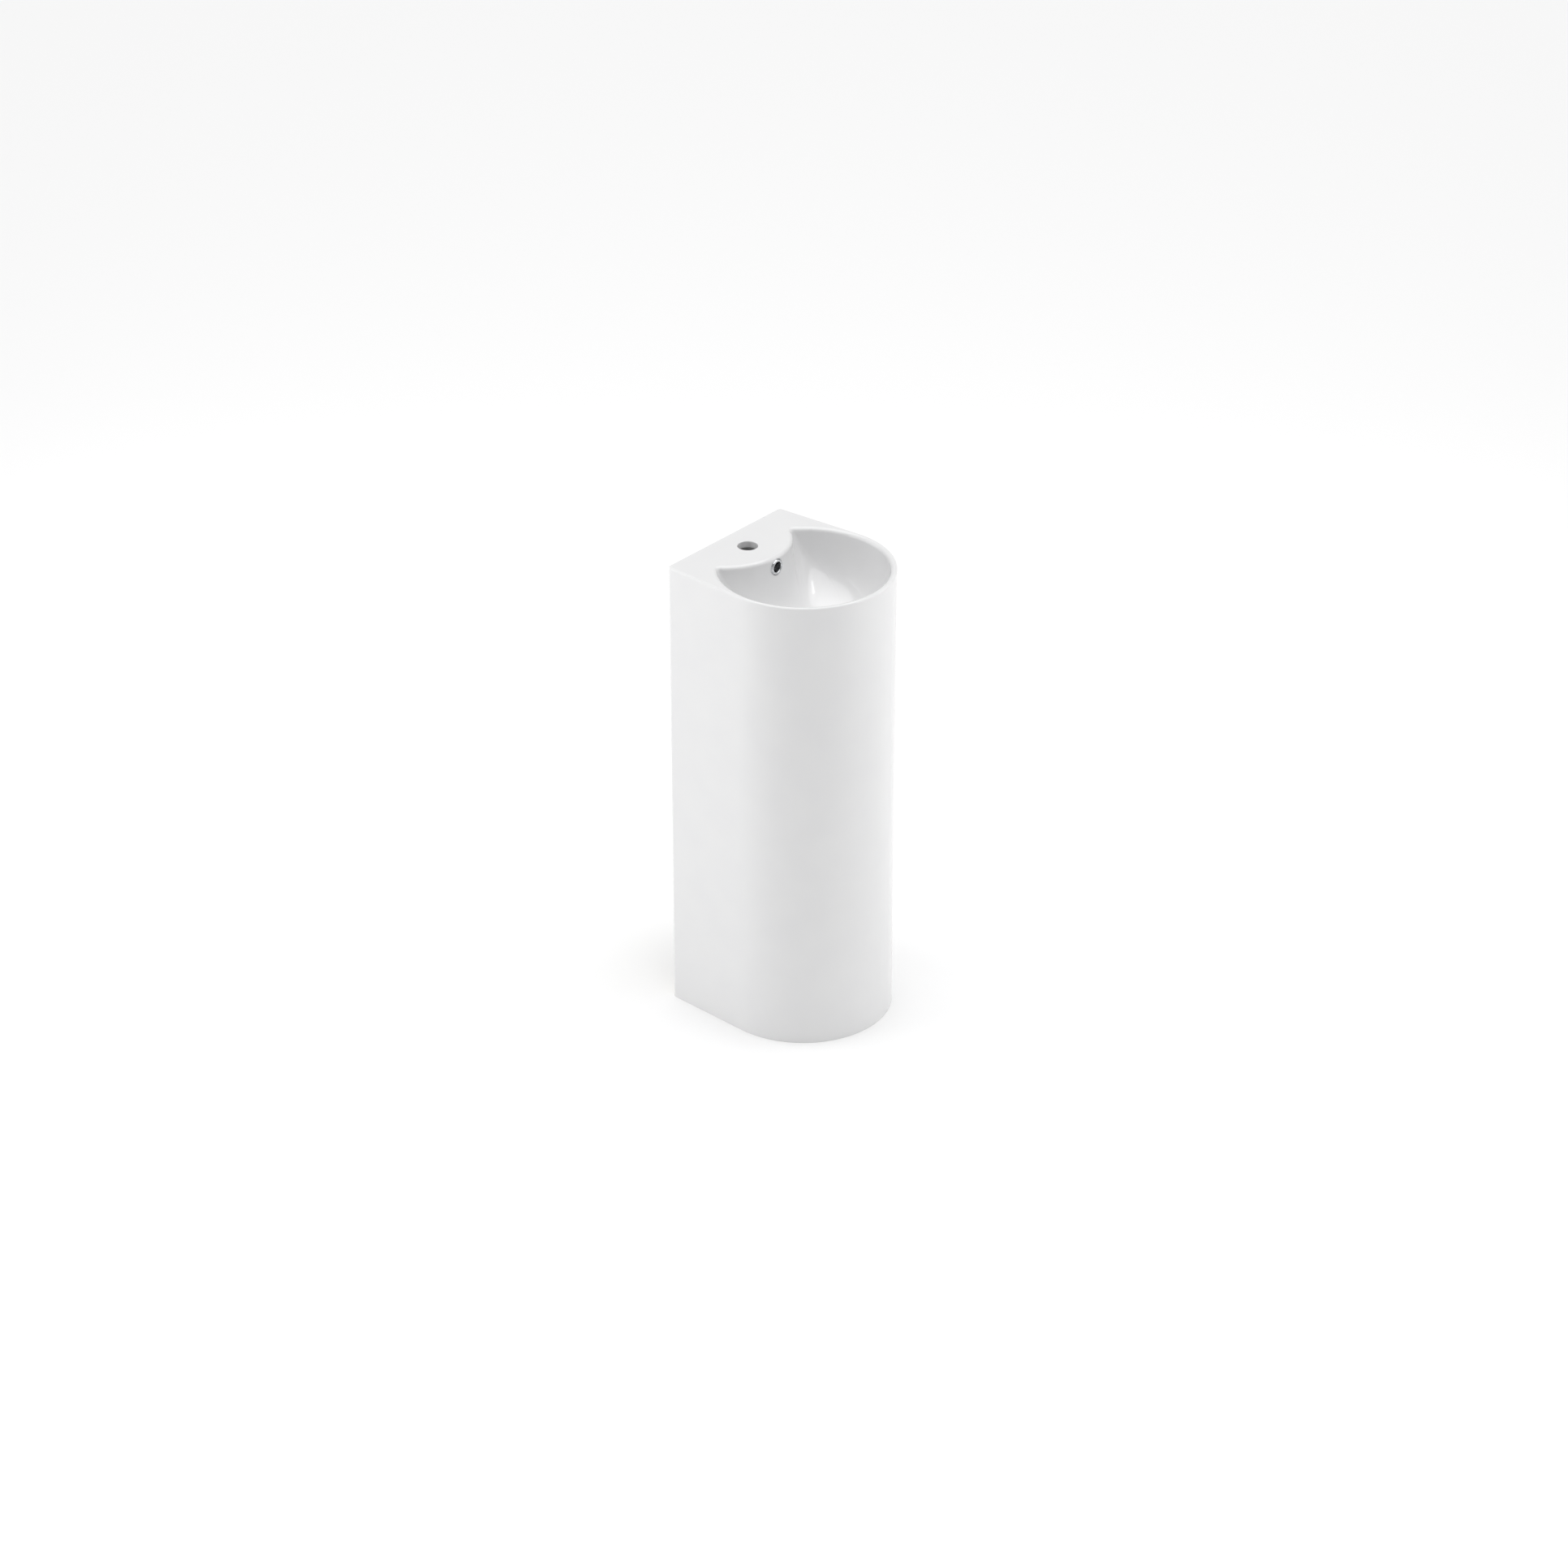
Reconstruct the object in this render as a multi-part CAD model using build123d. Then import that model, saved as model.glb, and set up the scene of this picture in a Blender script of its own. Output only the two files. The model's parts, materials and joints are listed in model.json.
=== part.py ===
from build123d import *
import os
from math import acos, atan2, cos, hypot, isclose, pi, sin, sqrt

# A floor-standing washbasin: basin and pedestal are two castings that are stuck together with
# slip and fired as one, with a click-clack waste and a bottle trap inside the open-backed column.
# Millimetres, +Z up. The origin is on the floor, in the back plane, on the plane of symmetry.
# The wall is on the +Y side, the user stands on the -Y side.

# --- china body ---
height = 850
depth = 335
back_width = 296
front_radius = 158
china_wall = 10
deck_thickness = 12
corner_round = 8  # upright back corners
top_round = 3.5  # outer edge of the deck and rim
rim_round = 7  # edge between rim and bowl
seam_drop = 7.5  # from the waste boss down to the seam between basin and pedestal
over = 1  # how far a cutting tool runs past the face it opens

# --- bowl ---
rim_width = 11  # rim at the front
bowl_depth = 112
bowl_squareness = 2.7  # exponent of the wall's curve: 2 is an ellipse, more is a boxier bowl
bowl_wall = 10
bowl_levels = 11
tongue_radius = 117.5  # the deck's round edge behind the bowl
tongue_share = 0.35075  # of the depth, from the back plane to that edge
horn_round = 4  # radius of the bowl's two back corners at the rim
horn_growth = 0.6  # their radius at the seat, as a share of the seat's
horn_rate = 0.4  # how soon they grow on the way down: less is sooner
seat_bend = 1440  # radius of the bowl's back at the seat, nearly straight

# --- tap hole and wall fixings ---
tap_hole_radius = 17.5
tap_hole_share = 0.1582  # of the depth, from the back plane to its axis
tap_hole_round = 1.5
fixing_spacing = 160
fixing_hole_radius = 7
fixing_drop = 75  # below the deck

# --- service opening in the back ---
service_width = 210
service_rise = 65  # of its top above the outlet's axis
service_round = 28

# --- waste hole ---
drain_share = 0.6418  # of the depth, from the back plane to the drain's axis
seat_margin = 4  # of the bowl's seat outside the flange
waste_hole_gap = 2.1  # round the waste body
boss_wall = 11  # china round the waste hole
boss_height = 36
recess_gap = 1.5  # round the flange
floor_blend = 0.85  # how much of the seat the bowl's back reaches at the bottom

# --- overflow ---
overflow_drop = 20  # below the deck
overflow_hole_radius = 12
overflow_wall = 12  # china between bowl and duct at the ring
duct_width = 32
duct_depth = 14
duct_wall = 7
ring_radius = 14.5
ring_bore_radius = 9.2
ring_lip = 3
ring_lip_round = 1.2
ring_bead = 2.2
ring_seat = 1.2  # depth of the flat spot that the ring lies on
ring_seat_gap = 0.5
ring_barrel = 15
ring_barrel_inset = 0.6
clip_depth = 0.8
clip_width = 2
slit_width = 1.6
slit_count = 4

# --- click-clack waste ---
flange_width = 11.1  # outside the waste body
flange_thickness = 3
flange_dish_width = 1.6  # outside the waste body, where the flange turns down
flange_cone = 7  # depth where the cone meets the bore
waste_radius = 20.9
waste_wall = 2.9
waste_length = 95
slot_width = 15
slot_low = 31  # below the flange's top
slot_high = 16
slot_round = 5
slot_count = 4
flange_seal_thickness = 1.5
flange_seal_inset = 1
hub_radius = 10
hub_top = 36
hub_height = 9
spoke_width = 3.5
spoke_count = 3
spoke_turn = 30  # degrees, clear of the slots
thread_gap = 0.1
gasket_width = 10.1  # outside the waste body
gasket_height = 7
gasket_bevel = 2
gasket_spigot = 4
gasket_spigot_gap = 0.3
gasket_spigot_tip = 0.6
slip_washer_width = 7.6  # outside the waste body
slip_washer_thickness = 2
back_nut_wall = 6.1  # from the waste body to the flats
back_nut_height = 9
back_nut_bevel = 2
back_nut_face = 0.5  # of the bevel's start outside the flats

# --- plug and click mechanism ---
plug_travel = 9
plug_edge = 2
plug_edge_round = 1.2
plug_crown = 2.2
plug_crown_inset = 2
plug_edge_gap = 0.5  # inside the flange's dish
plug_lift = 0.3  # the closed plug's edge stands this far above the flange's top
plug_seal_thickness = 2.5
plug_seal_gap = 0.6  # between the closed seal and the flange's cone
plug_hub_radius = 6
plug_hub_height = 5
post_radius = 3
post_end = 1  # from the cap's underside to the post's end, inside the hub
post_end_gap = 0.5
post_shoulder = 1.5
running_gap = 0.35
housing_radius = 7
housing_wall = 1.6
housing_collar = 1.8
housing_top = 22  # below the flange's top
housing_length = 38
bush_thickness = 3
rotor_height = 5
rotor_notches = 6
notch_width = 1.2
notch_depth = 1.2
notch_height = 2
spring_wire = 0.5  # radius
spring_turns = 7
spring_gap = 0.4  # under the rotor
spring_side_gap = 1

# --- bottle trap ---
pipe_radius = 16
pipe_wall = 1.8
nut_length = 22
nut_wall = 4.5
nut_lip = 3.5
nut_bevel = 2
nut_bevel_height = 3
nut_ribs = 8
rib_radius = 1.6
washer_thickness = 2.5
dip_flange_thickness = 3
dip_length = 156
neck_height = 18
neck_wall = 3.2
cone_length = 8
cone_edge = 0.4  # of the neck left outside the cone's wide end
neck_bore_length = 60
trap_radius = 31
trap_wall = 2.6
trap_round = 7
trap_top = 46  # from the waste's end to the top of the trap's neck
chamber_height = 62
outlet_drop = 24  # from the chamber's roof to the outlet's axis
outlet_neck = 24
cup_height = 88
cup_collar = 16
cup_collar_wall = 3
collar_root = 0.5  # how far the collar runs into the ledge
cup_ribs = 12
cup_round = 14
cup_seal_thickness = 2
pipe_inset = 18  # the outlet pipe's start inside its neck
stop_gap = 0.2
socket_length = 45  # of the outlet pipe, left clear for the drain's socket
mark_width = 1.2
mark_depth = 0.4

# --- sizes and places that follow ---
waste_bore_radius = waste_radius - waste_wall
waste_hole_radius = waste_radius + waste_hole_gap
boss_radius = waste_hole_radius + boss_wall
flange_radius = waste_radius + flange_width
flange_dish = waste_radius + flange_dish_width
gasket_radius = waste_radius + gasket_width
slip_washer_radius = waste_radius + slip_washer_width
seat_radius = flange_radius + seat_margin
front_centre_y = front_radius - depth
bowl_radius = front_radius - rim_width
tongue_reach = tongue_share * depth
tap_hole_setback = tap_hole_share * depth
drain_setback = drain_share * depth
drain_y = -drain_setback
seat_z = height - bowl_depth
recess_depth = flange_thickness + flange_seal_thickness
recess_z = seat_z - recess_depth
boss_z = recess_z - boss_height
waste_end_z = seat_z - waste_length
overflow_z = height - overflow_drop
seam_z = boss_z - seam_drop
ring_plane_y = ring_seat - tongue_reach
duct_front_y = ring_plane_y + overflow_wall
duct_back_y = duct_front_y + duct_depth
housing_bottom = housing_top + housing_length
neck_radius = pipe_radius + stop_gap + neck_wall
neck_top_z = waste_end_z - trap_top
roof_z = neck_top_z - neck_height
skirt_z = roof_z - chamber_height
outlet_z = roof_z - outlet_drop
service_height = outlet_z + service_rise


def ring(outer, inner, low, high):
    """A flat-ended tube about Z."""
    return Pos(0, 0, low) * extrude(Circle(outer) - Circle(inner), high - low)


def disc(radius, low, high):
    """A flat-ended cylinder about Z."""
    return Pos(0, 0, low) * extrude(Circle(radius), high - low)


def block(low, high):
    """A box between two opposite corners."""
    size = [b - a for a, b in zip(low, high)]
    return Pos(*low) * Box(*size, align=Align.MIN)


def turned(*points):
    """A closed profile of radius and height pairs, turned about Z."""
    return revolve(make_face(Plane.XZ * Polyline(*points, close=True)), Axis.Z)


def on_drain(shape, z=0):
    """Moves a piece made about Z onto the drain's axis."""
    return Pos(0, drain_y, z) * shape


def on_outlet(shape):
    """Lays a piece made about Z along +Y, on the outlet's axis, with its Z as distance from the drain."""
    return Pos(0, drain_y, outlet_z) * Rot(-90, 0, 0) * shape


# --- china body: its pieces ---


def plan_outline():
    """Straight back, straight sides, and the round front that the sides run into."""
    half = back_width / 2
    reach = hypot(half, front_centre_y)
    turn = atan2(-front_centre_y, half) - acos(front_radius / reach)
    x = front_radius * cos(turn)
    y = front_centre_y + front_radius * sin(turn)
    edges = [
        Line((-half, 0), (half, 0)),
        Line((half, 0), (x, y)),
        ThreePointArc((x, y), (0, -depth), (-x, y)),
        Line((-x, y), (-half, 0)),
    ]
    return make_face(edges)


def outer_block():
    """The whole outer form, solid, with its outside edges rounded."""
    solid = extrude(plan_outline(), height)
    uprights = solid.edges().filter_by(Axis.Z).sort_by(Axis.Y)[-2:]
    solid = fillet(uprights, corner_round)
    return fillet(solid.edges().group_by(Axis.Z)[-1], top_round)


def bowl_section(share, grow):
    """A level outline of the bowl, from the rim (share 0) to the seat (share 1), grown by a wall."""
    spread = cos(share * pi / 2) ** (2 / bowl_squareness) if share < 1 else 0
    drop = sin(share * pi / 2) ** (2 / bowl_squareness)
    inward = 1 - spread
    radius = seat_radius + (bowl_radius - seat_radius) * spread
    centre_y = front_centre_y + (drain_y - front_centre_y) * inward
    apex_y = -tongue_reach + (drain_y + floor_blend * seat_radius + tongue_reach) * inward
    bend = 1 / (spread / tongue_radius + inward / seat_bend)
    horn = horn_round + (horn_growth * radius - horn_round) * inward**horn_rate
    bend_y = apex_y + bend
    # the corner circle touches the round front from inside and the tongue from outside
    near = radius - horn
    far = bend + horn
    span = bend_y - centre_y
    along = (near**2 - far**2 + span**2) / (2 * span)
    across = sqrt(near**2 - along**2)
    corner = Vector(across, centre_y + along)
    front = (corner - Vector(0, centre_y)).normalized()
    back = (Vector(0, bend_y) - corner).normalized()
    reach = horn + grow
    on_front = corner + front * reach
    on_corner = corner + (front + back).normalized() * reach
    on_tongue = corner + back * reach

    def mirrored(point):
        return Vector(-point.X, point.Y)

    edges = [
        ThreePointArc(on_front, (0, centre_y - radius - grow), mirrored(on_front)),
        ThreePointArc(mirrored(on_front), mirrored(on_corner), mirrored(on_tongue)),
        ThreePointArc(mirrored(on_tongue), (0, apex_y + grow), on_tongue),
        ThreePointArc(on_tongue, on_corner, on_front),
    ]
    return Pos(0, 0, height - drop * (bowl_depth + grow)) * make_face(edges)


def bowl_form(grow=0):
    """The bowl's space, or with a wall added, its outside."""
    last = bowl_levels - 1
    return loft([bowl_section(i / last, grow) for i in range(bowl_levels)])


def underside_blocks():
    """The waste boss and the overflow duct's casing, solid."""
    boss = on_drain(disc(boss_radius, boss_z, seat_z))
    half = duct_width / 2 + duct_wall
    upright = block(
        (-half, duct_front_y - duct_wall, boss_z),
        (half, duct_back_y + duct_wall, height - deck_thickness / 2),
    )
    level = block((-half, drain_y, boss_z), (half, duct_back_y, seat_z - bowl_wall / 2))
    return boss + upright + level


def overflow_passage():
    """Ring seat, hole, upright duct and the level run into the waste hole."""
    axis_hole = disc(overflow_hole_radius, 0, overflow_wall + over)
    spot = disc(ring_radius + ring_seat_gap, -overflow_wall, 0)
    mouth = Pos(0, ring_plane_y, overflow_z) * Rot(-90, 0, 0) * (axis_hole + spot)
    half = duct_width / 2
    low_z = seat_z - slot_low
    high_z = seat_z - slot_high
    upright = block(
        (-half, duct_front_y, low_z),
        (half, duct_back_y, overflow_z + overflow_hole_radius),
    )
    level = block((-half, drain_y, low_z), (half, duct_back_y, high_z))
    return mouth + upright + level


def service_opening():
    """The cut in the column's back, open to the floor."""
    sketch = RectangleRounded(service_width, 2 * service_height, service_round)
    return extrude(Plane.XZ * sketch, china_wall + over, both=True)


def is_tap_hole_edge(edge):
    """True for the circle where the tap hole meets the deck."""
    if edge.geom_type != GeomType.CIRCLE:
        return False
    on_deck = isclose(edge.bounding_box().min.Z, height, abs_tol=over)
    return on_deck and isclose(edge.radius, tap_hole_radius, abs_tol=over)


def china_body():
    """Basin, deck and column, as they are once fired."""
    tap_hole = disc(tap_hole_radius, height - 2 * deck_thickness, height + over)
    body = outer_block() - bowl_form() - Pos(0, -tap_hole_setback) * tap_hole
    deck = body.faces().sort_by(Axis.Z)[-1]
    rim = max(deck.inner_wires(), key=lambda wire: wire.length)
    body = fillet(rim.edges(), rim_round)
    body = fillet(body.edges().filter_by(is_tap_hole_edge), tap_hole_round)
    inside = offset(plan_outline(), -china_wall, kind=Kind.INTERSECTION)
    hollow = Pos(0, 0, -over) * extrude(inside, height - deck_thickness + over)
    hollow = hollow - bowl_form(bowl_wall) - underside_blocks()
    body = body - hollow - service_opening() - overflow_passage()
    body = body - on_drain(disc(flange_radius + recess_gap, recess_z, seat_z + over))
    body = body - on_drain(disc(waste_hole_radius, boss_z - over, seat_z))
    for side in (-1, 1):
        hole = Rot(90, 0, 0) * disc(fixing_hole_radius, -over, china_wall + over)
        body = body - Pos(side * fixing_spacing / 2, 0, height - fixing_drop) * hole
    return body


china = china_body()
seam = Plane.XY.offset(seam_z)


def basin():
    """The upper casting: deck, rim, bowl, overflow duct and waste boss."""
    return split(china, bisect_by=seam, keep=Keep.TOP)


def pedestal():
    """The lower casting: the column with its open back."""
    return split(china, bisect_by=seam, keep=Keep.BOTTOM)


# --- overflow and waste: their pieces ---


def overflow_ring():
    """Chrome ring with a rolled lip and a barrel that clips into the overflow hole."""
    barrel_radius = overflow_hole_radius - thread_gap
    lip = ring(ring_radius, ring_bore_radius + ring_bead, 0, ring_lip / 2)
    lip = fillet(lip.edges().group_by(Axis.Z)[-1].sort_by(SortBy.RADIUS)[-1], ring_lip_round)
    bead_section = Pos(ring_bore_radius + ring_bead, ring_lip / 2) * Circle(ring_bead)
    bead = revolve(make_face(Plane.XZ * bead_section), Axis.Z) - disc(ring_radius, -ring_lip, 0)
    barrel = ring(barrel_radius, ring_bore_radius + ring_barrel_inset, -ring_barrel, ring_lip / 2)
    groove_low = clip_width - ring_barrel
    groove = ring(barrel_radius + over, barrel_radius - clip_depth, groove_low, groove_low + clip_width)
    piece = lip + bead + (barrel - groove)
    for i in range(slit_count):
        low = (-slit_width / 2, 0, -ring_barrel - over)
        slit = block(low, (slit_width / 2, ring_radius, -overflow_wall / 2))
        piece = piece - Rot(0, 0, (i + 1 / 2) * 360 / slit_count) * slit
    return Pos(0, ring_plane_y, overflow_z) * Rot(90, 0, 0) * piece


def waste_body():
    """Flanged brass tube with overflow slots and, inside, the bridge that holds the click housing."""
    body = turned(
        (waste_bore_radius, -waste_length),
        (waste_radius, -waste_length),
        (waste_radius, -flange_thickness),
        (flange_radius, -flange_thickness),
        (flange_radius, -flange_thickness / 2),
        (flange_radius - flange_thickness / 2, 0),
        (flange_dish + flange_thickness, 0),
        (flange_dish, -flange_thickness / 2),
        (waste_bore_radius, -flange_cone),
    )
    middle = (slot_low + slot_high) / 2
    for i in range(slot_count):
        slot = RectangleRounded(slot_width, slot_low - slot_high, slot_round)
        cut = extrude(Plane.XZ * Pos(0, -middle) * slot, -waste_radius - over)
        body = body - Rot(0, 0, 360 / slot_count * i) * cut
    hub = disc(hub_radius, -hub_top - hub_height, -hub_top)
    for i in range(spoke_count):
        low = (0, -spoke_width / 2, -hub_top - hub_height)
        spoke = block(low, (waste_bore_radius + over, spoke_width / 2, -hub_top))
        hub = hub + Rot(0, 0, spoke_turn + 360 / spoke_count * i) * spoke
    body = body + hub - disc(housing_radius + thread_gap, -waste_length, 0)
    return on_drain(body, seat_z)


def waste_flange_seal():
    """Flat rubber ring under the flange, in the china's recess."""
    outer = flange_radius - flange_seal_inset
    seal = ring(outer, waste_radius + thread_gap, -recess_depth, -flange_thickness)
    return on_drain(seal, seat_z)


def waste_cone_gasket():
    """Rubber gasket below the boss, with a spigot that wedges into the waste hole."""
    inner = waste_radius + thread_gap
    gasket = turned(
        (inner, -gasket_height),
        (gasket_radius - gasket_bevel, -gasket_height),
        (gasket_radius, 0),
        (waste_hole_radius - gasket_spigot_gap, 0),
        (inner + gasket_spigot_tip, gasket_spigot),
        (inner, gasket_spigot),
    )
    return on_drain(gasket, boss_z)


def waste_slip_washer():
    """Nylon washer that lets the nut turn without dragging the gasket."""
    high = boss_z - gasket_height
    inner = waste_radius + thread_gap
    return on_drain(ring(slip_washer_radius, inner, high - slip_washer_thickness, high))


def waste_back_nut():
    """Hexagonal brass nut that clamps the waste to the china."""
    high = boss_z - gasket_height - slip_washer_thickness
    flat = waste_radius + back_nut_wall
    outline = RegularPolygon(flat, 6, major_radius=False)
    nut = extrude(outline - Circle(waste_radius + thread_gap), back_nut_height)
    face = flat + back_nut_face
    corner = flat / cos(pi / 6)
    corners = turned(
        (0, 0),
        (face, 0),
        (corner, back_nut_bevel),
        (corner, back_nut_height - back_nut_bevel),
        (face, back_nut_height),
        (0, back_nut_height),
    )
    return on_drain(nut & corners, high - back_nut_height)


# --- plug and click mechanism: its pieces ---
# Heights are from the flange's top, with the plug up, as it stands when the waste is open.

plug_radius = flange_dish - plug_edge_gap
plug_low = plug_lift + plug_travel
plug_under = plug_low - plug_seal_thickness
cone_slope = (flange_dish - waste_bore_radius) / (flange_cone - flange_thickness / 2)
cone_drop = plug_seal_thickness - plug_lift - flange_thickness / 2
plug_seal_radius = flange_dish - cone_drop * cone_slope - plug_seal_gap
rotor_high = -housing_top - bush_thickness - running_gap
rotor_low = rotor_high - rotor_height
spring_low = -housing_bottom + housing_wall
spring_high = rotor_low - spring_gap


def plug_cap():
    """Domed chrome cover with a blind threaded hub on its underside."""
    plug_high = plug_low + plug_edge
    crown = disc(plug_radius, plug_low, plug_high)
    crown = fillet(crown.edges().group_by(Axis.Z)[-1], plug_edge_round)
    reach = plug_radius - plug_crown_inset
    dome_radius = (reach**2 + plug_crown**2) / (2 * plug_crown)
    dome = Pos(0, 0, plug_high + plug_crown - dome_radius) * Sphere(dome_radius)
    crown = crown + (dome & disc(reach, plug_low, plug_high + plug_crown + over))
    hub_low = plug_low - plug_hub_height
    bore = disc(post_radius + thread_gap, hub_low - over, plug_low - post_end + post_end_gap)
    return on_drain(crown + disc(plug_hub_radius, hub_low, plug_low) - bore, seat_z)


def plug_seal():
    """Rubber ring under the cap that closes on the flange's cone."""
    seal = turned(
        (plug_hub_radius + thread_gap, plug_under),
        (plug_seal_radius, plug_under),
        (plug_seal_radius, plug_low),
        (plug_hub_radius + thread_gap, plug_low),
    )
    return on_drain(seal, seat_z)


def plug_post():
    """Brass rod from the cap down to the rotor, with a shoulder under the cap's hub."""
    hub_low = plug_low - plug_hub_height
    post = disc(post_radius, rotor_low, plug_low - post_end)
    shoulder = disc(post_radius + post_shoulder, hub_low - post_shoulder, hub_low)
    return on_drain(post + shoulder, seat_z)


def click_rotor():
    """Notched sleeve on the post's foot that indexes at each press."""
    reach = housing_radius - housing_wall - running_gap
    rotor = ring(reach, post_radius, rotor_low, rotor_high)
    for i in range(rotor_notches):
        notch = block(
            (reach - notch_depth, -notch_width / 2, rotor_high - notch_height),
            (reach + over, notch_width / 2, rotor_high + over),
        )
        rotor = rotor - Rot(0, 0, 360 / rotor_notches * i) * notch
    return on_drain(rotor, seat_z)


def click_housing():
    """Closed-bottomed sleeve that screws into the bridge and guides the rotor."""
    housing = disc(housing_radius, -housing_bottom, -housing_top)
    collar = disc(housing_radius + housing_collar, -hub_top, -hub_top + housing_collar)
    bore = disc(housing_radius - housing_wall, spring_low, -housing_top + over)
    return on_drain(housing + collar - bore, seat_z)


def click_bush():
    """Guide bush pressed into the housing's mouth, round the post."""
    outer = housing_radius - housing_wall
    inner = post_radius + running_gap
    return on_drain(ring(outer, inner, -housing_top - bush_thickness, -housing_top), seat_z)


def click_spring():
    """Steel coil that lifts the plug."""
    mean = housing_radius - housing_wall - running_gap - spring_side_gap - spring_wire
    tall = spring_high - spring_low - 2 * spring_wire
    path = Helix(tall / spring_turns, tall, mean)
    wire = Plane(path @ 0, z_dir=path % 0) * Circle(spring_wire)
    coil = sweep(wire, path, is_frenet=True)
    return on_drain(Pos(0, 0, spring_low + spring_wire) * coil, seat_z)


# --- bottle trap: its pieces ---


def ribbed_nut(inner):
    """A plastic union nut about Z, its open end at the top and its throat at the bottom."""
    outer = inner + nut_wall
    throat = pipe_radius + stop_gap
    nut = turned(
        (throat, 0),
        (outer - nut_bevel, 0),
        (outer, nut_bevel_height),
        (outer, nut_length),
        (inner, nut_length),
        (inner, nut_lip),
        (throat, nut_lip),
    )
    for i in range(nut_ribs):
        grip = Pos(outer, 0) * disc(rib_radius, nut_bevel_height, nut_length - nut_bevel)
        nut = nut + Rot(0, 0, 360 / nut_ribs * i) * grip
    return nut


def trap_inlet_nut():
    """Union nut on the waste's lower thread."""
    low = waste_end_z - washer_thickness - dip_flange_thickness - nut_lip
    return on_drain(ribbed_nut(waste_radius + thread_gap), low)


def trap_inlet_washer():
    """Flat rubber ring between the waste and the dip tube's flange."""
    bore = pipe_radius - pipe_wall
    return on_drain(ring(waste_radius, bore, waste_end_z - washer_thickness, waste_end_z))


def trap_dip_tube():
    """Flanged tube from the waste down into the trap's water."""
    flange_high = waste_end_z - washer_thickness
    bore = pipe_radius - pipe_wall
    flange = ring(waste_radius, bore, flange_high - dip_flange_thickness, flange_high)
    return on_drain(flange + ring(pipe_radius, bore, flange_high - dip_length, flange_high))


def cone_washer():
    """Tapered rubber ring about Z, thin end down, that a nut squeezes round a pipe."""
    wide = neck_radius - cone_edge
    return turned(
        (pipe_radius, -cone_length),
        (pipe_radius + stop_gap, -cone_length),
        (wide, 0),
        (wide, washer_thickness),
        (pipe_radius, washer_thickness),
    )


def neck_bore():
    """The conical mouth that takes a cone washer, about Z, with its rim at zero."""
    wide = neck_radius - cone_edge
    narrow = pipe_radius + stop_gap
    return turned(
        (0, -neck_bore_length),
        (narrow, -neck_bore_length),
        (narrow, -cone_length),
        (wide, 0),
        (wide, over),
        (0, over),
    )


def trap_body():
    """Upper half of the trap: neck for the dip tube, chamber and side outlet."""
    chamber = disc(trap_radius, skirt_z, roof_z)
    chamber = fillet(chamber.edges().group_by(Axis.Z)[-1], trap_round)
    inside = disc(trap_radius - trap_wall, skirt_z - over, roof_z - trap_wall)
    inside = fillet(inside.edges().group_by(Axis.Z)[-1], trap_round - trap_wall)
    neck = disc(neck_radius, roof_z - trap_wall, neck_top_z)
    body = on_drain(chamber + neck)
    body = body + on_outlet(disc(neck_radius, 0, trap_radius + outlet_neck))
    body = body - on_drain(inside)
    body = body - on_drain(neck_bore(), neck_top_z)
    return body - on_outlet(Pos(0, 0, trap_radius + outlet_neck) * neck_bore())


def trap_body_nut():
    """Union nut that grips the dip tube on the trap's neck, open end down."""
    nut = Rot(180, 0, 0) * ribbed_nut(neck_radius + thread_gap)
    return on_drain(nut, neck_top_z + washer_thickness + nut_lip)


def trap_body_washer():
    """Cone washer between the trap's neck and the dip tube."""
    return on_drain(cone_washer(), neck_top_z)


def trap_cup():
    """Lower half of the trap, with the ribbed collar that screws over the body's skirt."""
    ledge_z = skirt_z - cup_seal_thickness
    low_z = ledge_z - cup_height
    collar_outer = trap_radius + thread_gap + cup_collar_wall
    cup = disc(trap_radius, low_z, ledge_z)
    cup = fillet(cup.edges().group_by(Axis.Z)[0], cup_round)
    space = disc(trap_radius - trap_wall, low_z + trap_wall, ledge_z + over)
    space = fillet(space.edges().group_by(Axis.Z)[0], cup_round - trap_wall)
    cup = cup - space
    cup = cup + ring(collar_outer, trap_radius - trap_wall, ledge_z - cup_collar_wall, ledge_z)
    collar_low = ledge_z - collar_root
    collar = ring(collar_outer, trap_radius + thread_gap, collar_low, skirt_z + cup_collar)
    for i in range(cup_ribs):
        rib = Pos(collar_outer, 0) * disc(rib_radius, ledge_z, ledge_z + cup_collar)
        collar = collar + Rot(0, 0, 360 / cup_ribs * i) * rib
    return on_drain(cup + collar)


def trap_cup_seal():
    """Rubber ring between the body's skirt and the cup's ledge."""
    low = skirt_z - cup_seal_thickness
    return on_drain(ring(trap_radius, trap_radius - trap_wall, low, skirt_z))


def trap_outlet_nut():
    """Union nut that grips the outlet pipe on the side neck, open end towards the trap."""
    end = trap_radius + outlet_neck + washer_thickness + nut_lip
    return on_outlet(Pos(0, 0, end) * Rot(180, 0, 0) * ribbed_nut(neck_radius + thread_gap))


def trap_outlet_washer():
    """Cone washer between the side neck and the outlet pipe."""
    return on_outlet(Pos(0, 0, trap_radius + outlet_neck) * cone_washer())


def trap_outlet_pipe():
    """Plain pipe to the back plane, with a groove that marks how far the drain's socket goes on."""
    start = trap_radius + outlet_neck - pipe_inset
    pipe = ring(pipe_radius, pipe_radius - pipe_wall, start, drain_setback)
    mark = drain_setback - socket_length
    groove = ring(pipe_radius + over, pipe_radius - mark_depth, mark - mark_width, mark)
    return on_outlet(pipe - groove)


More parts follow.
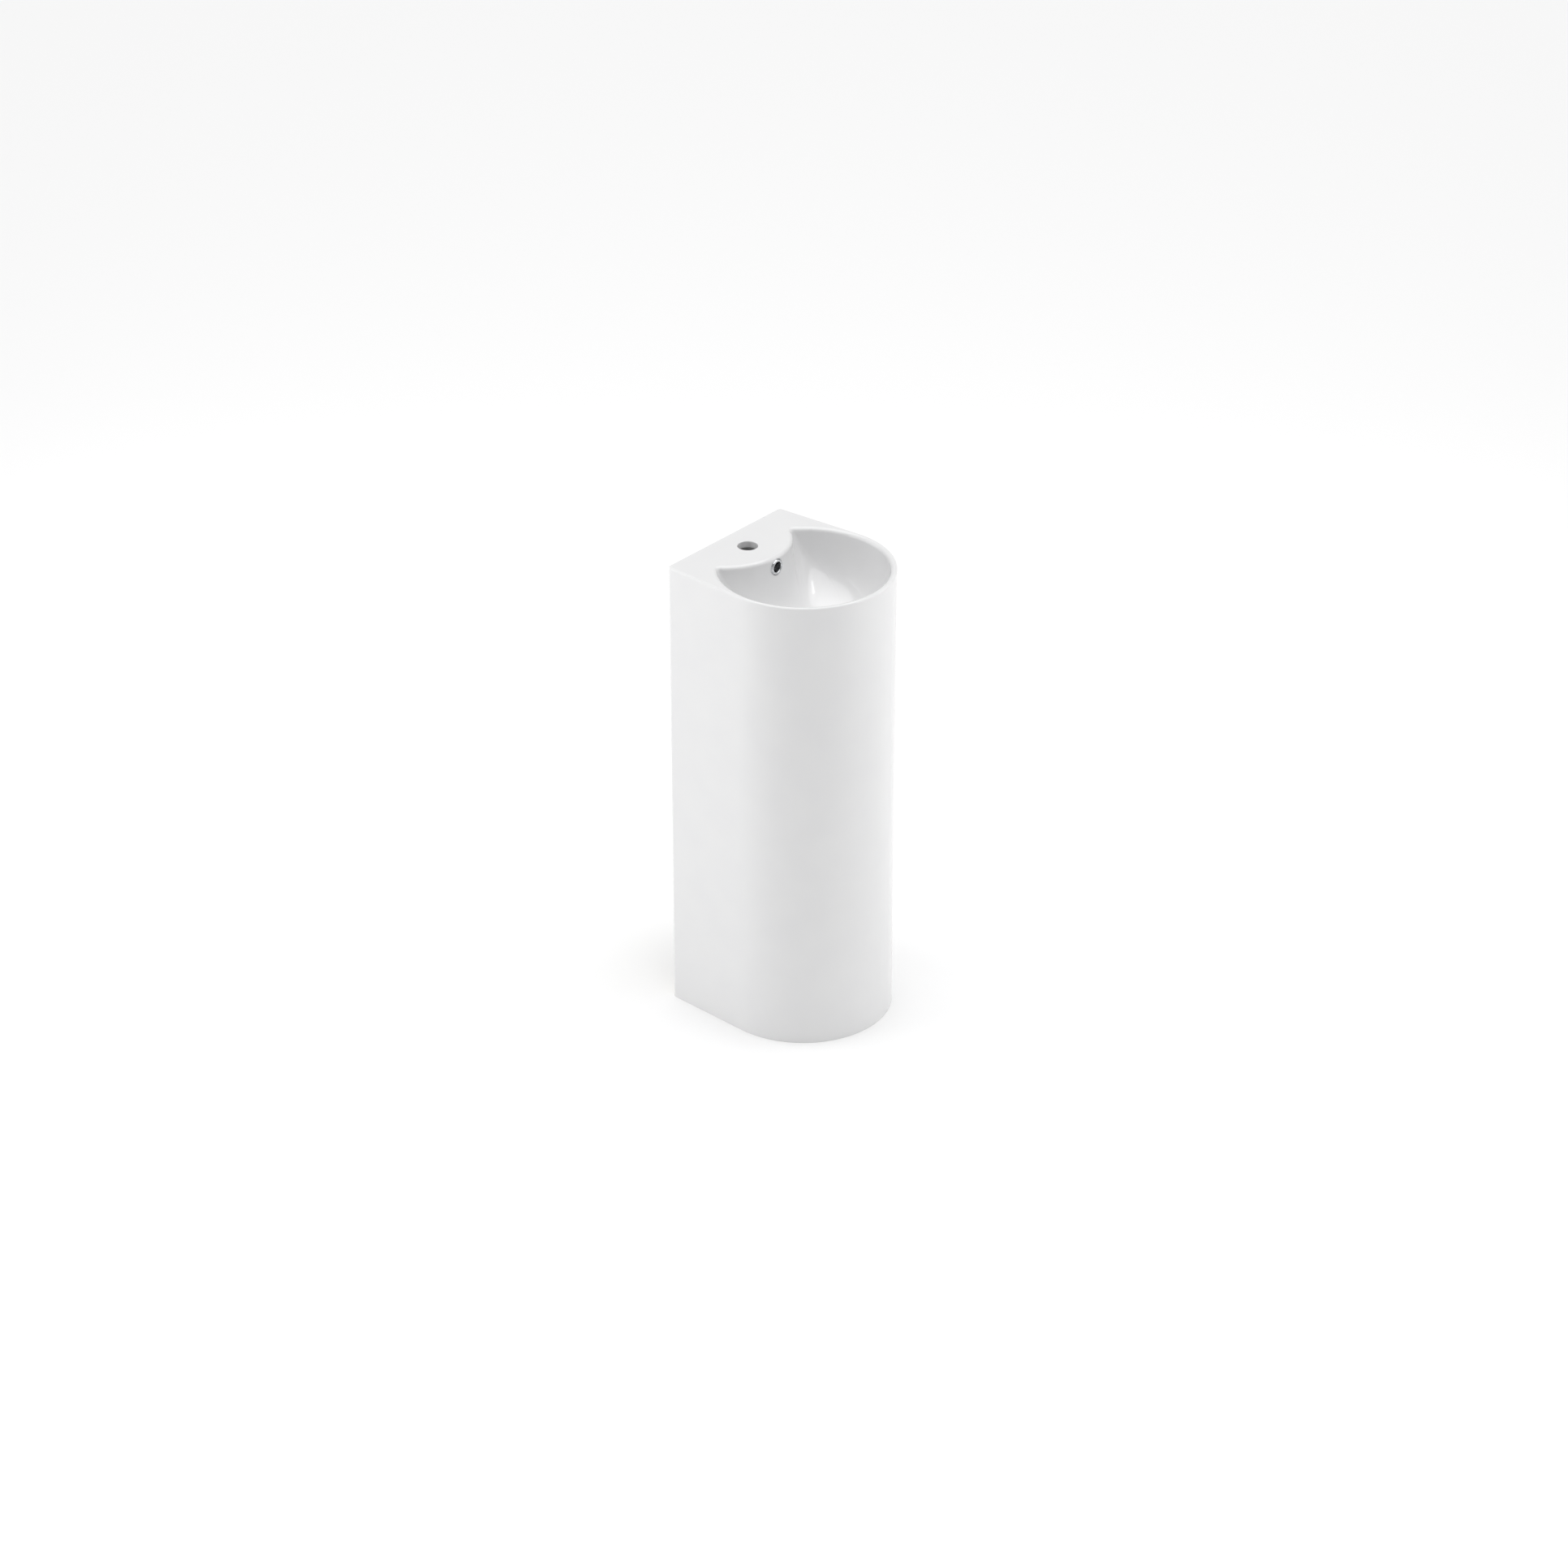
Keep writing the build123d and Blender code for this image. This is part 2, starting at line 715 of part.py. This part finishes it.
pieces = [
    basin,
    pedestal,
    overflow_ring,
    waste_body,
    waste_flange_seal,
    waste_cone_gasket,
    waste_slip_washer,
    waste_back_nut,
    plug_cap,
    plug_seal,
    plug_post,
    click_rotor,
    click_housing,
    click_bush,
    click_spring,
    trap_inlet_nut,
    trap_inlet_washer,
    trap_dip_tube,
    trap_body,
    trap_body_nut,
    trap_body_washer,
    trap_cup,
    trap_cup_seal,
    trap_outlet_nut,
    trap_outlet_washer,
    trap_outlet_pipe,
]

os.makedirs("parts", exist_ok=True)
for piece in pieces:
    export_step(piece(), f"parts/{piece.__name__}.step")
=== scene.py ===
import json
import math

import bpy
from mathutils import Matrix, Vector


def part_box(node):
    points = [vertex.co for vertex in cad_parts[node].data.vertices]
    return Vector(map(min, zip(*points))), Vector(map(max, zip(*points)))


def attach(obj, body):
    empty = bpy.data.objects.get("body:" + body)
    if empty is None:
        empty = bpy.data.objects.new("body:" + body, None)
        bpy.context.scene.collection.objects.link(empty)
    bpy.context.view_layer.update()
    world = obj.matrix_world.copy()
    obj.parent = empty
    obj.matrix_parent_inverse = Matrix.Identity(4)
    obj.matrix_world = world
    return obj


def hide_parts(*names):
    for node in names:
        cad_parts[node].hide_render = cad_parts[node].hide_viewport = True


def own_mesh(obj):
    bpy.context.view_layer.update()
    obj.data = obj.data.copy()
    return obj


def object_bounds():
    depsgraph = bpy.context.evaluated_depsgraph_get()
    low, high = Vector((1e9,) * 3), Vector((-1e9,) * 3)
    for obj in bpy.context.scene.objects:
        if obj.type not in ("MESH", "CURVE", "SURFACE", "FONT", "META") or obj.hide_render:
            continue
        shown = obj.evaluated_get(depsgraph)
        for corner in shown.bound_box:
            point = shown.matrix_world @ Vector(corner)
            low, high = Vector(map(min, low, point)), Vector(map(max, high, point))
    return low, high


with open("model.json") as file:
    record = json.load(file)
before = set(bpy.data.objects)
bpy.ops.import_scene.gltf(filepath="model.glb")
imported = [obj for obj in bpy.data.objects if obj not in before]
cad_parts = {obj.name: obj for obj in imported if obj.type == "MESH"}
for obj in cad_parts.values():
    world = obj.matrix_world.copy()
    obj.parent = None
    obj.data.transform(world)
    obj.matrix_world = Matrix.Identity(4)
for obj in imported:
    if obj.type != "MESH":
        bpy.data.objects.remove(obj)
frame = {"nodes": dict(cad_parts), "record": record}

cadBounds = [list(corner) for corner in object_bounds()]
nodes = frame["nodes"]
scene = bpy.context.scene
mm = 0.001
noiseLow, noiseHigh = 0.3, 0.7  # most of a noise pattern's values lie between these
print("frame loaded,", len(nodes), "CAD nodes")


def srgb(hexColour):
    # "#RRGGBB" to the linear colour that the shaders work in
    values = [int(hexColour[i:i + 2], 16) / 255 for i in (1, 3, 5)]
    linear = [v / 12.92 if v <= 0.04045 else ((v + 0.055) / 1.055) ** 2.4 for v in values]
    return (*linear, 1.0)


def addNode(tree, kind, settings=None, links=None):
    # settings are the node's own properties or its sockets' values, links are socket: (node, output)
    node = tree.nodes.new(kind)
    for key, value in (settings or {}).items():
        if isinstance(key, str) and hasattr(node, key):
            setattr(node, key, value)
        else:
            node.inputs[key].default_value = value
    for key, (source, output) in (links or {}).items():
        tree.links.new(source.outputs[output], node.inputs[key])
    return node


def newMaterial(name):
    material = bpy.data.materials.new(name)
    material.use_nodes = True
    material.node_tree.nodes.clear()
    return material, material.node_tree


def finishMaterial(tree, shader):
    addNode(tree, "ShaderNodeOutputMaterial", links={"Surface": (shader, 0)})


chinaGlaze = {
    "colour": "#E7E7E7",
    "shade": "#E3E3E4",  # where the glaze lies thicker
    "roughness": 0.07,
    "roughnessSpread": 0.05,
    "ior": 1.51,
    "flowSize": 55,  # mm between the glaze's long soft waves
    "flowHeight": 0.05,  # mm
    "peelSize": 3.2,  # mm, orange peel
    "peelHeight": 0.0022,
    "bisque": "#D8D3C8",  # fired body, where it is ground or left bare
    "bisqueRoughness": 0.72,
    "gritSize": 0.5,
    "gritHeight": 0.08,
    "gritStrength": 0.6,
    "bareDepth": 0.5,  # mm from the plane that was ground flat
    "bareFacing": 0.9,  # how squarely a bare face looks down or back
}


def makeChina(spec):
    # vitreous china, slip cast, sprayed with a clear-white zircon glaze and fired: a deep even
    # gloss with slow waves, and a bare matt body on the ground foot and back
    material, tree = newMaterial("vitreous china, glazed")
    place = addNode(tree, "ShaderNodeNewGeometry")
    spot = addNode(tree, "ShaderNodeSeparateXYZ", links={0: (place, "Position")})
    facing = addNode(tree, "ShaderNodeSeparateXYZ", links={0: (place, "Normal")})
    flow = addNode(tree, "ShaderNodeTexNoise",
                   {"Scale": 1 / (spec["flowSize"] * mm), "Detail": 1.5, "Roughness": 0.4},
                   {"Vector": (place, "Position")})
    peel = addNode(tree, "ShaderNodeTexNoise",
                   {"Scale": 1 / (spec["peelSize"] * mm), "Detail": 2.0},
                   {"Vector": (place, "Position")})
    grit = addNode(tree, "ShaderNodeTexNoise",
                   {"Scale": 1 / (spec["gritSize"] * mm), "Detail": 4.0, "Roughness": 0.7},
                   {"Vector": (place, "Position")})
    tint = addNode(tree, "ShaderNodeMix",
                   {"data_type": "RGBA", 6: srgb(spec["colour"]), 7: srgb(spec["shade"])},
                   {0: (flow, 0)})
    gloss = addNode(tree, "ShaderNodeMapRange",
                    {1: noiseLow, 2: noiseHigh,
                     3: spec["roughness"], 4: spec["roughness"] + spec["roughnessSpread"]},
                    {0: (flow, 0)})
    slow = addNode(tree, "ShaderNodeBump", {"Strength": 1.0, "Distance": spec["flowHeight"] * mm},
                   {"Height": (flow, 0)})
    fine = addNode(tree, "ShaderNodeBump", {"Strength": 1.0, "Distance": spec["peelHeight"] * mm},
                   {"Height": (peel, 0), "Normal": (slow, 0)})
    glaze = addNode(tree, "ShaderNodeBsdfPrincipled", {"IOR": spec["ior"]},
                    {"Base Color": (tint, 2), "Roughness": (gloss, 0), "Normal": (fine, 0)})
    # bare body: the ground foot and the back plane
    facingLimit, depth = spec["bareFacing"], spec["bareDepth"] * mm
    foot = addNode(tree, "ShaderNodeMath", {"operation": "LESS_THAN", 1: -facingLimit}, {0: (facing, 2)})
    low = addNode(tree, "ShaderNodeMath", {"operation": "LESS_THAN", 1: depth}, {0: (spot, 2)})
    back = addNode(tree, "ShaderNodeMath", {"operation": "GREATER_THAN", 1: facingLimit}, {0: (facing, 1)})
    rear = addNode(tree, "ShaderNodeMath", {"operation": "GREATER_THAN", 1: -depth}, {0: (spot, 1)})
    onFoot = addNode(tree, "ShaderNodeMath", {"operation": "MULTIPLY"}, {0: (foot, 0), 1: (low, 0)})
    onBack = addNode(tree, "ShaderNodeMath", {"operation": "MULTIPLY"}, {0: (back, 0), 1: (rear, 0)})
    bare = addNode(tree, "ShaderNodeMath", {"operation": "MAXIMUM"}, {0: (onFoot, 0), 1: (onBack, 0)})
    rough = addNode(tree, "ShaderNodeBump",
                    {"Strength": spec["gritStrength"], "Distance": spec["gritHeight"] * mm},
                    {"Height": (grit, 0)})
    body = addNode(tree, "ShaderNodeBsdfPrincipled",
                   {"Base Color": srgb(spec["bisque"]), "Roughness": spec["bisqueRoughness"]},
                   {"Normal": (rough, 0)})
    mixed = addNode(tree, "ShaderNodeMixShader", links={0: (bare, 0), 1: (glaze, 0), 2: (body, 0)})
    finishMaterial(tree, mixed)
    return material


# polished brass, nickelled and chromed: a cool near-mirror, a little dulled where it is handled
chromePlate = {
    "colour": "#D2D4D6",
    "roughness": 0.045,
    "smearSize": 9,  # mm
    "smear": 0.05,
    "smearFrom": 0.45,
    "smearTo": 0.8,
}
# rolled on the waste's tail, from below the gasket down; plain in the solid
wasteThread = {
    "pitch": 2.0,  # mm, as are the rest
    "height": 0.35,
    "below": 2,
    "skin": 0.4,
}
# turned on a lathe and left bare: warm, with a soft sheen
turnedBrass = {"colour": "#C9A55C", "roughness": 0.26, "lineSize": 0.35, "lineHeight": 0.004}
# stainless wire, drawn through dies: grey, with a fine grain in its shine
drawnSteel = {"colour": "#B9BABC", "roughness": 0.24, "lineSize": 0.2, "lineHeight": 0.002}


def cutThread(tree, place, spec):
    # ridges round the waste's tail only, so that the bore and the flange stay smooth
    low, high = (Vector(corner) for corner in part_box("waste_body"))
    middle = (low + high) / 2
    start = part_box("waste_cone_gasket")[0][2] - spec["below"] * mm
    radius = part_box("trap_inlet_washer")[1][0]  # the washer is as wide as the waste
    level = addNode(tree, "ShaderNodeVectorMath", {"operation": "MULTIPLY", 1: (1, 1, 0)},
                    {0: (place, "Position")})
    reach = addNode(tree, "ShaderNodeVectorMath",
                    {"operation": "DISTANCE", 1: (middle.x, middle.y, 0)}, {0: (level, 0)})
    outside = addNode(tree, "ShaderNodeMath", {"operation": "GREATER_THAN", 1: radius - spec["skin"] * mm},
                      {0: (reach, "Value")})
    spot = addNode(tree, "ShaderNodeSeparateXYZ", links={0: (place, "Position")})
    under = addNode(tree, "ShaderNodeMath", {"operation": "LESS_THAN", 1: start}, {0: (spot, 2)})
    on = addNode(tree, "ShaderNodeMath", {"operation": "MULTIPLY"}, {0: (outside, 0), 1: (under, 0)})
    phase = addNode(tree, "ShaderNodeMath", {"operation": "MULTIPLY", 1: 2 * math.pi / (spec["pitch"] * mm)},
                    {0: (spot, 2)})
    ridge = addNode(tree, "ShaderNodeMath", {"operation": "SINE"}, {0: (phase, 0)})
    height = addNode(tree, "ShaderNodeMath", {"operation": "MULTIPLY"}, {0: (ridge, 0), 1: (on, 0)})
    return addNode(tree, "ShaderNodeBump", {"Distance": spec["height"] * mm}, {"Height": (height, 0)})


def makeMetal(name, spec, thread=None):
    # lines are the marks of turning or drawing, smears are what handling leaves on a polished plate
    material, tree = newMaterial(name)
    place = addNode(tree, "ShaderNodeNewGeometry")
    settings = {"Metallic": 1.0, "Base Color": srgb(spec["colour"]), "Roughness": spec["roughness"]}
    links = {}
    if "smear" in spec:
        smear = addNode(tree, "ShaderNodeTexNoise", {"Scale": 1 / (spec["smearSize"] * mm), "Detail": 5.0},
                        {"Vector": (place, "Position")})
        spread = addNode(tree, "ShaderNodeMapRange",
                         {1: spec["smearFrom"], 2: spec["smearTo"],
                          3: spec["roughness"], 4: spec["roughness"] + spec["smear"]},
                         {0: (smear, 0)})
        links["Roughness"] = (spread, 0)
    if "lineSize" in spec:
        lines = addNode(tree, "ShaderNodeTexNoise", {"Scale": 1 / (spec["lineSize"] * mm), "Detail": 3.0},
                        {"Vector": (place, "Position")})
        bump = addNode(tree, "ShaderNodeBump", {"Distance": spec["lineHeight"] * mm}, {"Height": (lines, 0)})
        links["Normal"] = (bump, 0)
    if thread:
        links["Normal"] = (cutThread(tree, place, thread), 0)
    finishMaterial(tree, addNode(tree, "ShaderNodeBsdfPrincipled", settings, links))
    return material


# injection moulded, slightly waxy, with an even satin skin
whitePolypropylene = {
    "colour": "#E4E4DF", "roughness": 0.36, "grainSize": 0.9, "grainHeight": 0.012, "ior": 1.49,
}
# injection moulded without pigment: cream, a touch duller
naturalNylon = {"colour": "#D9D4C4", "roughness": 0.42, "grainSize": 0.7, "grainHeight": 0.01, "ior": 1.53}
# injection moulded, hard and slippery: the smoothest of the plastics
whiteAcetal = {"colour": "#E2E2DE", "roughness": 0.3, "grainSize": 0.6, "grainHeight": 0.008, "ior": 1.48}
# compression moulded: matt, near black
mouldedRubber = {"colour": "#1B1B1C", "roughness": 0.62, "grainSize": 0.5, "grainHeight": 0.02, "ior": 1.52}
mouldSkin = {"cloudSize": 18, "smoother": 0.04, "rougher": 0.06}  # uneven polish of the mould, size in mm


def makeMoulded(name, spec):
    # injection or compression moulded: the mould's grain breaks up the highlight
    material, tree = newMaterial(name)
    place = addNode(tree, "ShaderNodeNewGeometry")
    grain = addNode(tree, "ShaderNodeTexNoise", {"Scale": 1 / (spec["grainSize"] * mm), "Detail": 3.0},
                    {"Vector": (place, "Position")})
    cloud = addNode(tree, "ShaderNodeTexNoise", {"Scale": 1 / (mouldSkin["cloudSize"] * mm), "Detail": 2.0},
                    {"Vector": (place, "Position")})
    polish = addNode(tree, "ShaderNodeMapRange",
                     {1: noiseLow, 2: noiseHigh,
                      3: spec["roughness"] - mouldSkin["smoother"],
                      4: spec["roughness"] + mouldSkin["rougher"]},
                     {0: (cloud, 0)})
    bump = addNode(tree, "ShaderNodeBump", {"Distance": spec["grainHeight"] * mm}, {"Height": (grain, 0)})
    shader = addNode(tree, "ShaderNodeBsdfPrincipled",
                     {"Base Color": srgb(spec["colour"]), "IOR": spec["ior"]},
                     {"Roughness": (polish, 0), "Normal": (bump, 0)})
    finishMaterial(tree, shader)
    return material


finishes = {
    "china": makeChina(chinaGlaze),
    "chrome": makeMetal("chrome-plated brass", chromePlate),
    "brass": makeMetal("turned brass", turnedBrass),
    "spring_steel": makeMetal("drawn stainless wire", drawnSteel),
    "polypropylene": makeMoulded("white polypropylene", whitePolypropylene),
    "nylon": makeMoulded("natural nylon", naturalNylon),
    "acetal": makeMoulded("white acetal", whiteAcetal),
    "rubber": makeMoulded("moulded rubber", mouldedRubber),
}
for entry in frame["record"]["subparts"]:
    for slot in nodes[entry["node"]].material_slots:
        slot.material = finishes[entry["material_slot"]]
for slot in nodes["waste_body"].material_slots:
    slot.material = makeMetal("chrome-plated brass, threaded", chromePlate, wasteThread)


coilSpring = {
    "wire": 0.5,  # radius in mm
    "turns": 8,
    "endTurns": 1,  # closed, at each end
    "sides": 12,
    "steps": 40,  # per turn
}


def makeSpring(spec):
    # closed end turns lie wire on wire, so the coil stands square
    low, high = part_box("click_spring")
    wire = spec["wire"] * mm
    mean = (high.x - low.x) / 2 - wire
    tall = high.z - low.z - 2 * wire
    closed = 2 * wire * spec["endTurns"]
    pitch = (tall - 2 * closed) / (spec["turns"] - 2 * spec["endTurns"])
    count = spec["turns"] * spec["steps"]
    points = []
    for i in range(count + 1):
        turn = i / spec["steps"]
        fromEnd = min(turn, spec["turns"] - turn)
        rise = 2 * wire * min(fromEnd, spec["endTurns"]) + pitch * max(fromEnd - spec["endTurns"], 0)
        height = rise if turn < spec["turns"] / 2 else tall - rise
        angle = 2 * math.pi * turn
        outward = Vector((math.cos(angle), math.sin(angle), 0))
        centre = Vector(((low.x + high.x) / 2, (low.y + high.y) / 2, low.z + wire + height)) + outward * mean
        for j in range(spec["sides"]):
            around = 2 * math.pi * j / spec["sides"]
            upward = Vector((0, 0, wire * math.sin(around)))
            points.append(centre + outward * wire * math.cos(around) + upward)
    faces = []
    for i in range(count):
        for j in range(spec["sides"]):
            k = (j + 1) % spec["sides"]
            a, b = i * spec["sides"], (i + 1) * spec["sides"]
            faces.append((a + j, a + k, b + k, b + j))
    faces.append(tuple(reversed(range(spec["sides"]))))
    faces.append(tuple(range(count * spec["sides"], (count + 1) * spec["sides"])))
    mesh = bpy.data.meshes.new("spring_coil")
    mesh.from_pydata(points, [], faces)
    mesh.polygons.foreach_set("use_smooth", [len(face) == 4 for face in faces])
    mesh.materials.append(finishes["spring_steel"])
    coil = bpy.data.objects.new("spring_coil", mesh)
    scene.collection.objects.link(coil)
    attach(coil, "sink")
    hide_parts("click_spring")
    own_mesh(coil)


makeSpring(coilSpring)
print("spring wound")


studio = {
    "floorColour": "#F7F7F7",
    "floorSize": 1000,  # metres, so that its edge stays out of a low view
    "floorGap": 0.2,  # mm below the foot
    "skyStrength": 0.33,
    "overheadStrength": 2.1,
    "overheadAngle": 75,
    "sideHeight": 1.35,
}
leftBox = {"azimuth": -140.2, "elevation": 0, "distance": 2.3, "size": (2.4, 2.6), "strength": 26.5}
rightBox = {"azimuth": 39.8, "elevation": 0, "distance": 2.3, "size": (2.4, 2.6), "strength": 19.5}
# small and high, over the front right, aimed at the plug
glintBox = {"azimuth": 62, "elevation": 64, "distance": 2.2, "size": (0.75, 0.22), "strength": 2.2}
shot = {
    "azimuth": -50.2,  # 0 looks along +Y, at the front
    "elevation": 29.2,
    "distance": 8.0,
    "lens": 105.7,
    "aimForward": 0.034,  # from the middle of the part's box, towards the wall
    "aimDown": 0.011,
}


def directionFrom(azimuth, elevation):
    a, e = math.radians(azimuth), math.radians(elevation)
    return Vector((math.sin(a) * math.cos(e), -math.cos(a) * math.cos(e), math.sin(e)))


def lookAt(thing, target):
    thing.rotation_mode = "QUATERNION"
    thing.rotation_quaternion = (target - thing.location).to_track_quat("-Z", "Y")


def makeFloor(spec):
    half = spec["floorSize"] / 2
    mesh = bpy.data.meshes.new("floor")
    corners = [(-half, -half, 0), (half, -half, 0), (half, half, 0), (-half, half, 0)]
    mesh.from_pydata(corners, [], [(0, 1, 2, 3)])
    floor = bpy.data.objects.new("floor", mesh)
    floor.location.z = cadBounds[0][2] - spec["floorGap"] * mm
    scene.collection.objects.link(floor)
    material, tree = newMaterial("matt white paper floor")
    paper = addNode(tree, "ShaderNodeBsdfPrincipled",
                    {"Base Color": srgb(spec["floorColour"]), "Roughness": 0.9, "Specular IOR Level": 0.1})
    finishMaterial(tree, paper)
    mesh.materials.append(material)


def addSoftbox(name, spec, aim):
    lamp = bpy.data.lights.new(name + " softbox", "AREA")
    lamp.shape = "RECTANGLE"
    lamp.size, lamp.size_y = spec["size"]
    lamp.energy = spec["strength"]
    thing = bpy.data.objects.new(name + " softbox", lamp)
    thing.location = aim + directionFrom(spec["azimuth"], spec["elevation"]) * spec["distance"]
    lookAt(thing, aim)
    scene.collection.objects.link(thing)


def makeLights(spec):
    world = bpy.data.worlds.new("studio")
    scene.world = world
    world.use_nodes = True
    sky = world.node_tree.nodes["Background"].inputs
    sky["Color"].default_value = (1, 1, 1, 1)
    sky["Strength"].default_value = spec["skyStrength"]
    overhead = bpy.data.lights.new("overhead", "SUN")
    overhead.energy = spec["overheadStrength"]
    overhead.angle = math.radians(spec["overheadAngle"])
    scene.collection.objects.link(bpy.data.objects.new("overhead", overhead))
    middle = (Vector(cadBounds[0]) + Vector(cadBounds[1])) / 2
    sideAim = Vector((middle.x, middle.y, spec["sideHeight"]))
    addSoftbox("left", leftBox, sideAim)
    addSoftbox("right", rightBox, sideAim)
    addSoftbox("glint", glintBox, Vector(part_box("plug_cap")[1]))


def makeCamera(spec):
    camera = bpy.data.objects.new("camera", bpy.data.cameras.new("camera"))
    scene.collection.objects.link(camera)
    middle = (Vector(cadBounds[0]) + Vector(cadBounds[1])) / 2
    aim = middle + Vector((0, spec["aimForward"], -spec["aimDown"]))
    camera.location = aim + directionFrom(spec["azimuth"], spec["elevation"]) * spec["distance"]
    lookAt(camera, aim)
    camera.data.lens = spec["lens"]
    camera.data.clip_end = 1000
    scene.camera = camera


makeFloor(studio)
makeLights(studio)
makeCamera(shot)
scene.view_settings.view_transform = "Standard"
print("studio ready")
